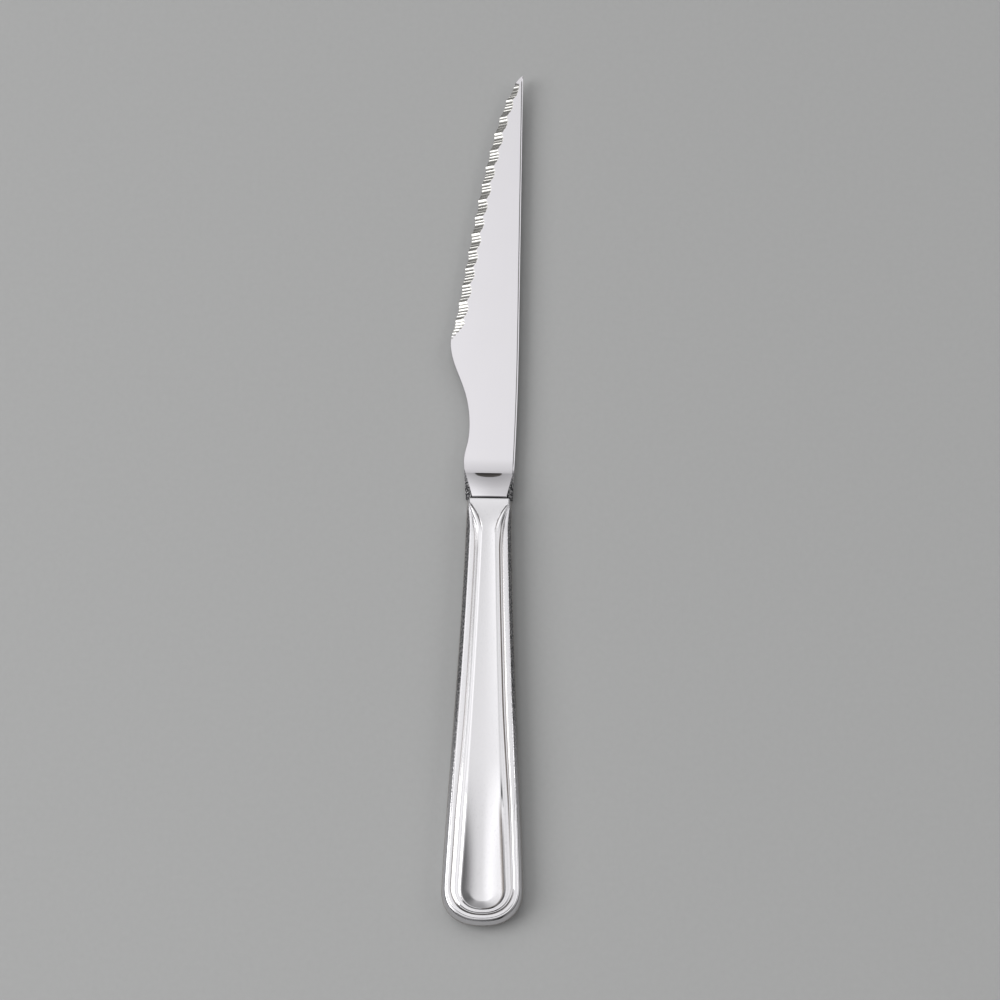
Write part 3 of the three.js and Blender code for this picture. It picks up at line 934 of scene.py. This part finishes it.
def braze_metal():
    """Ground braze, mottled and slightly rough."""
    material, tree, shader = bare_material("ground_braze", (0.3, 0.29, 0.28), metallic=1, roughness=0.45)
    mottle = grain(tree, scale=1400, detail=3)
    colour = tinted(tree, mottle, (0.2, 0.195, 0.19), (0.42, 0.4, 0.38))
    tree.links.new(colour, shader.inputs["Base Color"])
    tree.links.new(ranged(tree, mottle, 0.35, 0.6), shader.inputs["Roughness"])
    bumped(tree, shader, mottle, depth=0.0001)
    return material


def set_cement():
    """Set handle cement, grainy and matt."""
    material, tree, shader = bare_material("set_cement", (0.16, 0.15, 0.13), metallic=0, roughness=0.9)
    sand = grain(tree, scale=900, detail=5)
    colour = tinted(tree, sand, (0.1, 0.094, 0.082), (0.23, 0.215, 0.19))
    tree.links.new(colour, shader.inputs["Base Color"])
    tree.links.new(ranged(tree, sand, 0.8, 1), shader.inputs["Roughness"])
    bumped(tree, shader, sand, depth=0.0002)
    return material


def grey_paper():
    """Plain grey paper with a faint tooth."""
    material, tree, shader = bare_material("grey_paper", (0.4, 0.4, 0.4), metallic=0, roughness=0.9)
    tooth = grain(tree, scale=700, detail=4)
    colour = tinted(tree, tooth, (0.492, 0.495, 0.494), (0.526, 0.529, 0.528))
    tree.links.new(colour, shader.inputs["Base Color"])
    bumped(tree, shader, tooth, depth=0.00005)
    return material


def dress(piece, material):
    """Gives a piece this material alone."""
    piece.data.materials.clear()
    piece.data.materials.append(material)


handle_polish = handle_steel()
dress(blade, blade_steel())
dress(front_shell, handle_polish)
dress(back_shell, handle_polish)
dress(seam, braze_metal())
dress(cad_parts["tang_cement"], set_cement())

# Floor
floor_size = 3
deselect()
bpy.ops.mesh.primitive_plane_add(size=floor_size, location=(0, 0, 0))
floor = bpy.context.object
floor.name = "floor"
dress(floor, grey_paper())

# Light. The room is brighter or darker by the direction that is looked in: each ramp goes along one axis.
light_scale = 2
room_level = 1.05
world = bpy.data.worlds.new("room")
bpy.context.scene.world = world
world.use_nodes = True
room_tree = world.node_tree
coordinates = room_tree.nodes.new("ShaderNodeTexCoord")
direction = room_tree.nodes.new("ShaderNodeSeparateXYZ")
room_tree.links.new(coordinates.outputs["Generated"], direction.inputs[0])


def light_ramp(direction_value, stops, scale=1):
    """Light at a value of the direction, from stops that pair a value with an amount."""
    ramp = room_tree.nodes.new("ShaderNodeValToRGB")
    room_tree.links.new(direction_value, ramp.inputs[0])
    elements = ramp.color_ramp.elements
    while len(elements) > 1:
        elements.remove(elements[-1])
    for index, (position, amount) in enumerate(stops):
        element = elements.new(position) if index else elements[0]
        element.position = position
        element.color = (amount / scale,) * 3 + (1,)
    return ramp.outputs[0]


def blended(first, second, kind):
    """Blends two lights completely, in the way that is named."""
    blend = room_tree.nodes.new("ShaderNodeMix")
    blend.data_type = "RGBA"
    blend.blend_type = kind
    blend.inputs["Factor"].default_value = 1
    room_tree.links.new(first, blend.inputs["A"])
    room_tree.links.new(second, blend.inputs["B"])
    return blend.outputs["Result"]


across_room = ranged(room_tree, direction.outputs["X"], 0, 1, start=-1, end=1)
along_room = ranged(room_tree, direction.outputs["Y"], 0, 1, start=-1, end=1)
up = direction.outputs["Z"]
overhead = light_ramp(up, [
    (0, 0.1), (0.36, 0.14), (0.46, 0.6), (0.7, 0.74), (0.87, 0.87), (0.95, 0.98), (1, 1),
])
near_floor = light_ramp(up, [(0, 0.16), (0.3, 0.16), (0.45, 0)])
ends = light_ramp(along_room, [
    (0, 0.28), (0.25, 0.26), (0.4, 0.44), (0.5, 0.8), (0.6, 1), (0.655, 1), (0.8, 0.95), (0.88, 0.65),
    (0.95, 0.4), (1, 0.35),
])
sides = light_ramp(across_room, [
    (0.0, 0.9), (0.12, 1.05), (0.25, 1.25), (0.32, 1.3), (0.4, 1.45), (0.45, 1.3), (0.5, 1.0), (0.535, 0.96),
    (0.575, 0.88), (0.61, 0.72), (0.64, 0.52), (0.665, 0.36), (0.69, 0.22), (0.71, 0.16), (0.74, 0.2),
    (0.78, 1.4), (0.86, 1.6), (0.93, 1.2), (1.0, 0.8),
], light_scale)
room = blended(blended(overhead, ends, "MULTIPLY"), near_floor, "LIGHTEN")
background = room_tree.nodes["Background"]
room_tree.links.new(blended(room, sides, "MULTIPLY"), background.inputs["Color"])
background.inputs["Strength"].default_value = light_scale * room_level


def softbox(name, place, aim, size, power):
    """A lamp with a rectangular face, at a place in metres, turned to what it lights."""
    deselect()
    bpy.ops.object.light_add(type="AREA", location=place)
    lamp = bpy.context.object
    lamp.name = name
    lamp.data.shape = "RECTANGLE"
    lamp.data.size, lamp.data.size_y = size
    lamp.data.energy = power
    lamp.rotation_mode = "QUATERNION"
    lamp.rotation_quaternion = (Vector(aim) - Vector(place)).to_track_quat("-Z", "Y")


softbox("left_softbox", place=(-1.3, -0.25, 1.13), aim=(0, -0.25, 0), size=(1.3, 1.2), power=13)

# Camera. It looks at a place near the handle's mouth, given from there in millimetres.
camera_height = math.radians(72)
camera_turn = math.radians(0.95)
camera_distance = 0.9
camera_aim = Vector((2.75, 0.15, 0.7))
camera_lens = 125.7
sensor_width = 36
target = home + camera_aim * mm
back = Vector((
    math.sin(camera_turn) * math.cos(camera_height),
    -math.cos(camera_turn) * math.cos(camera_height),
    math.sin(camera_height),
))
camera_data = bpy.data.cameras.new("camera")
camera_data.sensor_width = sensor_width
camera_data.lens = camera_lens
camera_data.clip_start = 0.01
camera = bpy.data.objects.new("camera", camera_data)
bpy.context.scene.collection.objects.link(camera)
camera.location = target + back * camera_distance
camera.rotation_mode = "QUATERNION"
camera.rotation_quaternion = (-back).to_track_quat("-Z", "Y")
bpy.context.scene.camera = camera

bpy.context.scene.view_settings.view_transform = "Standard"
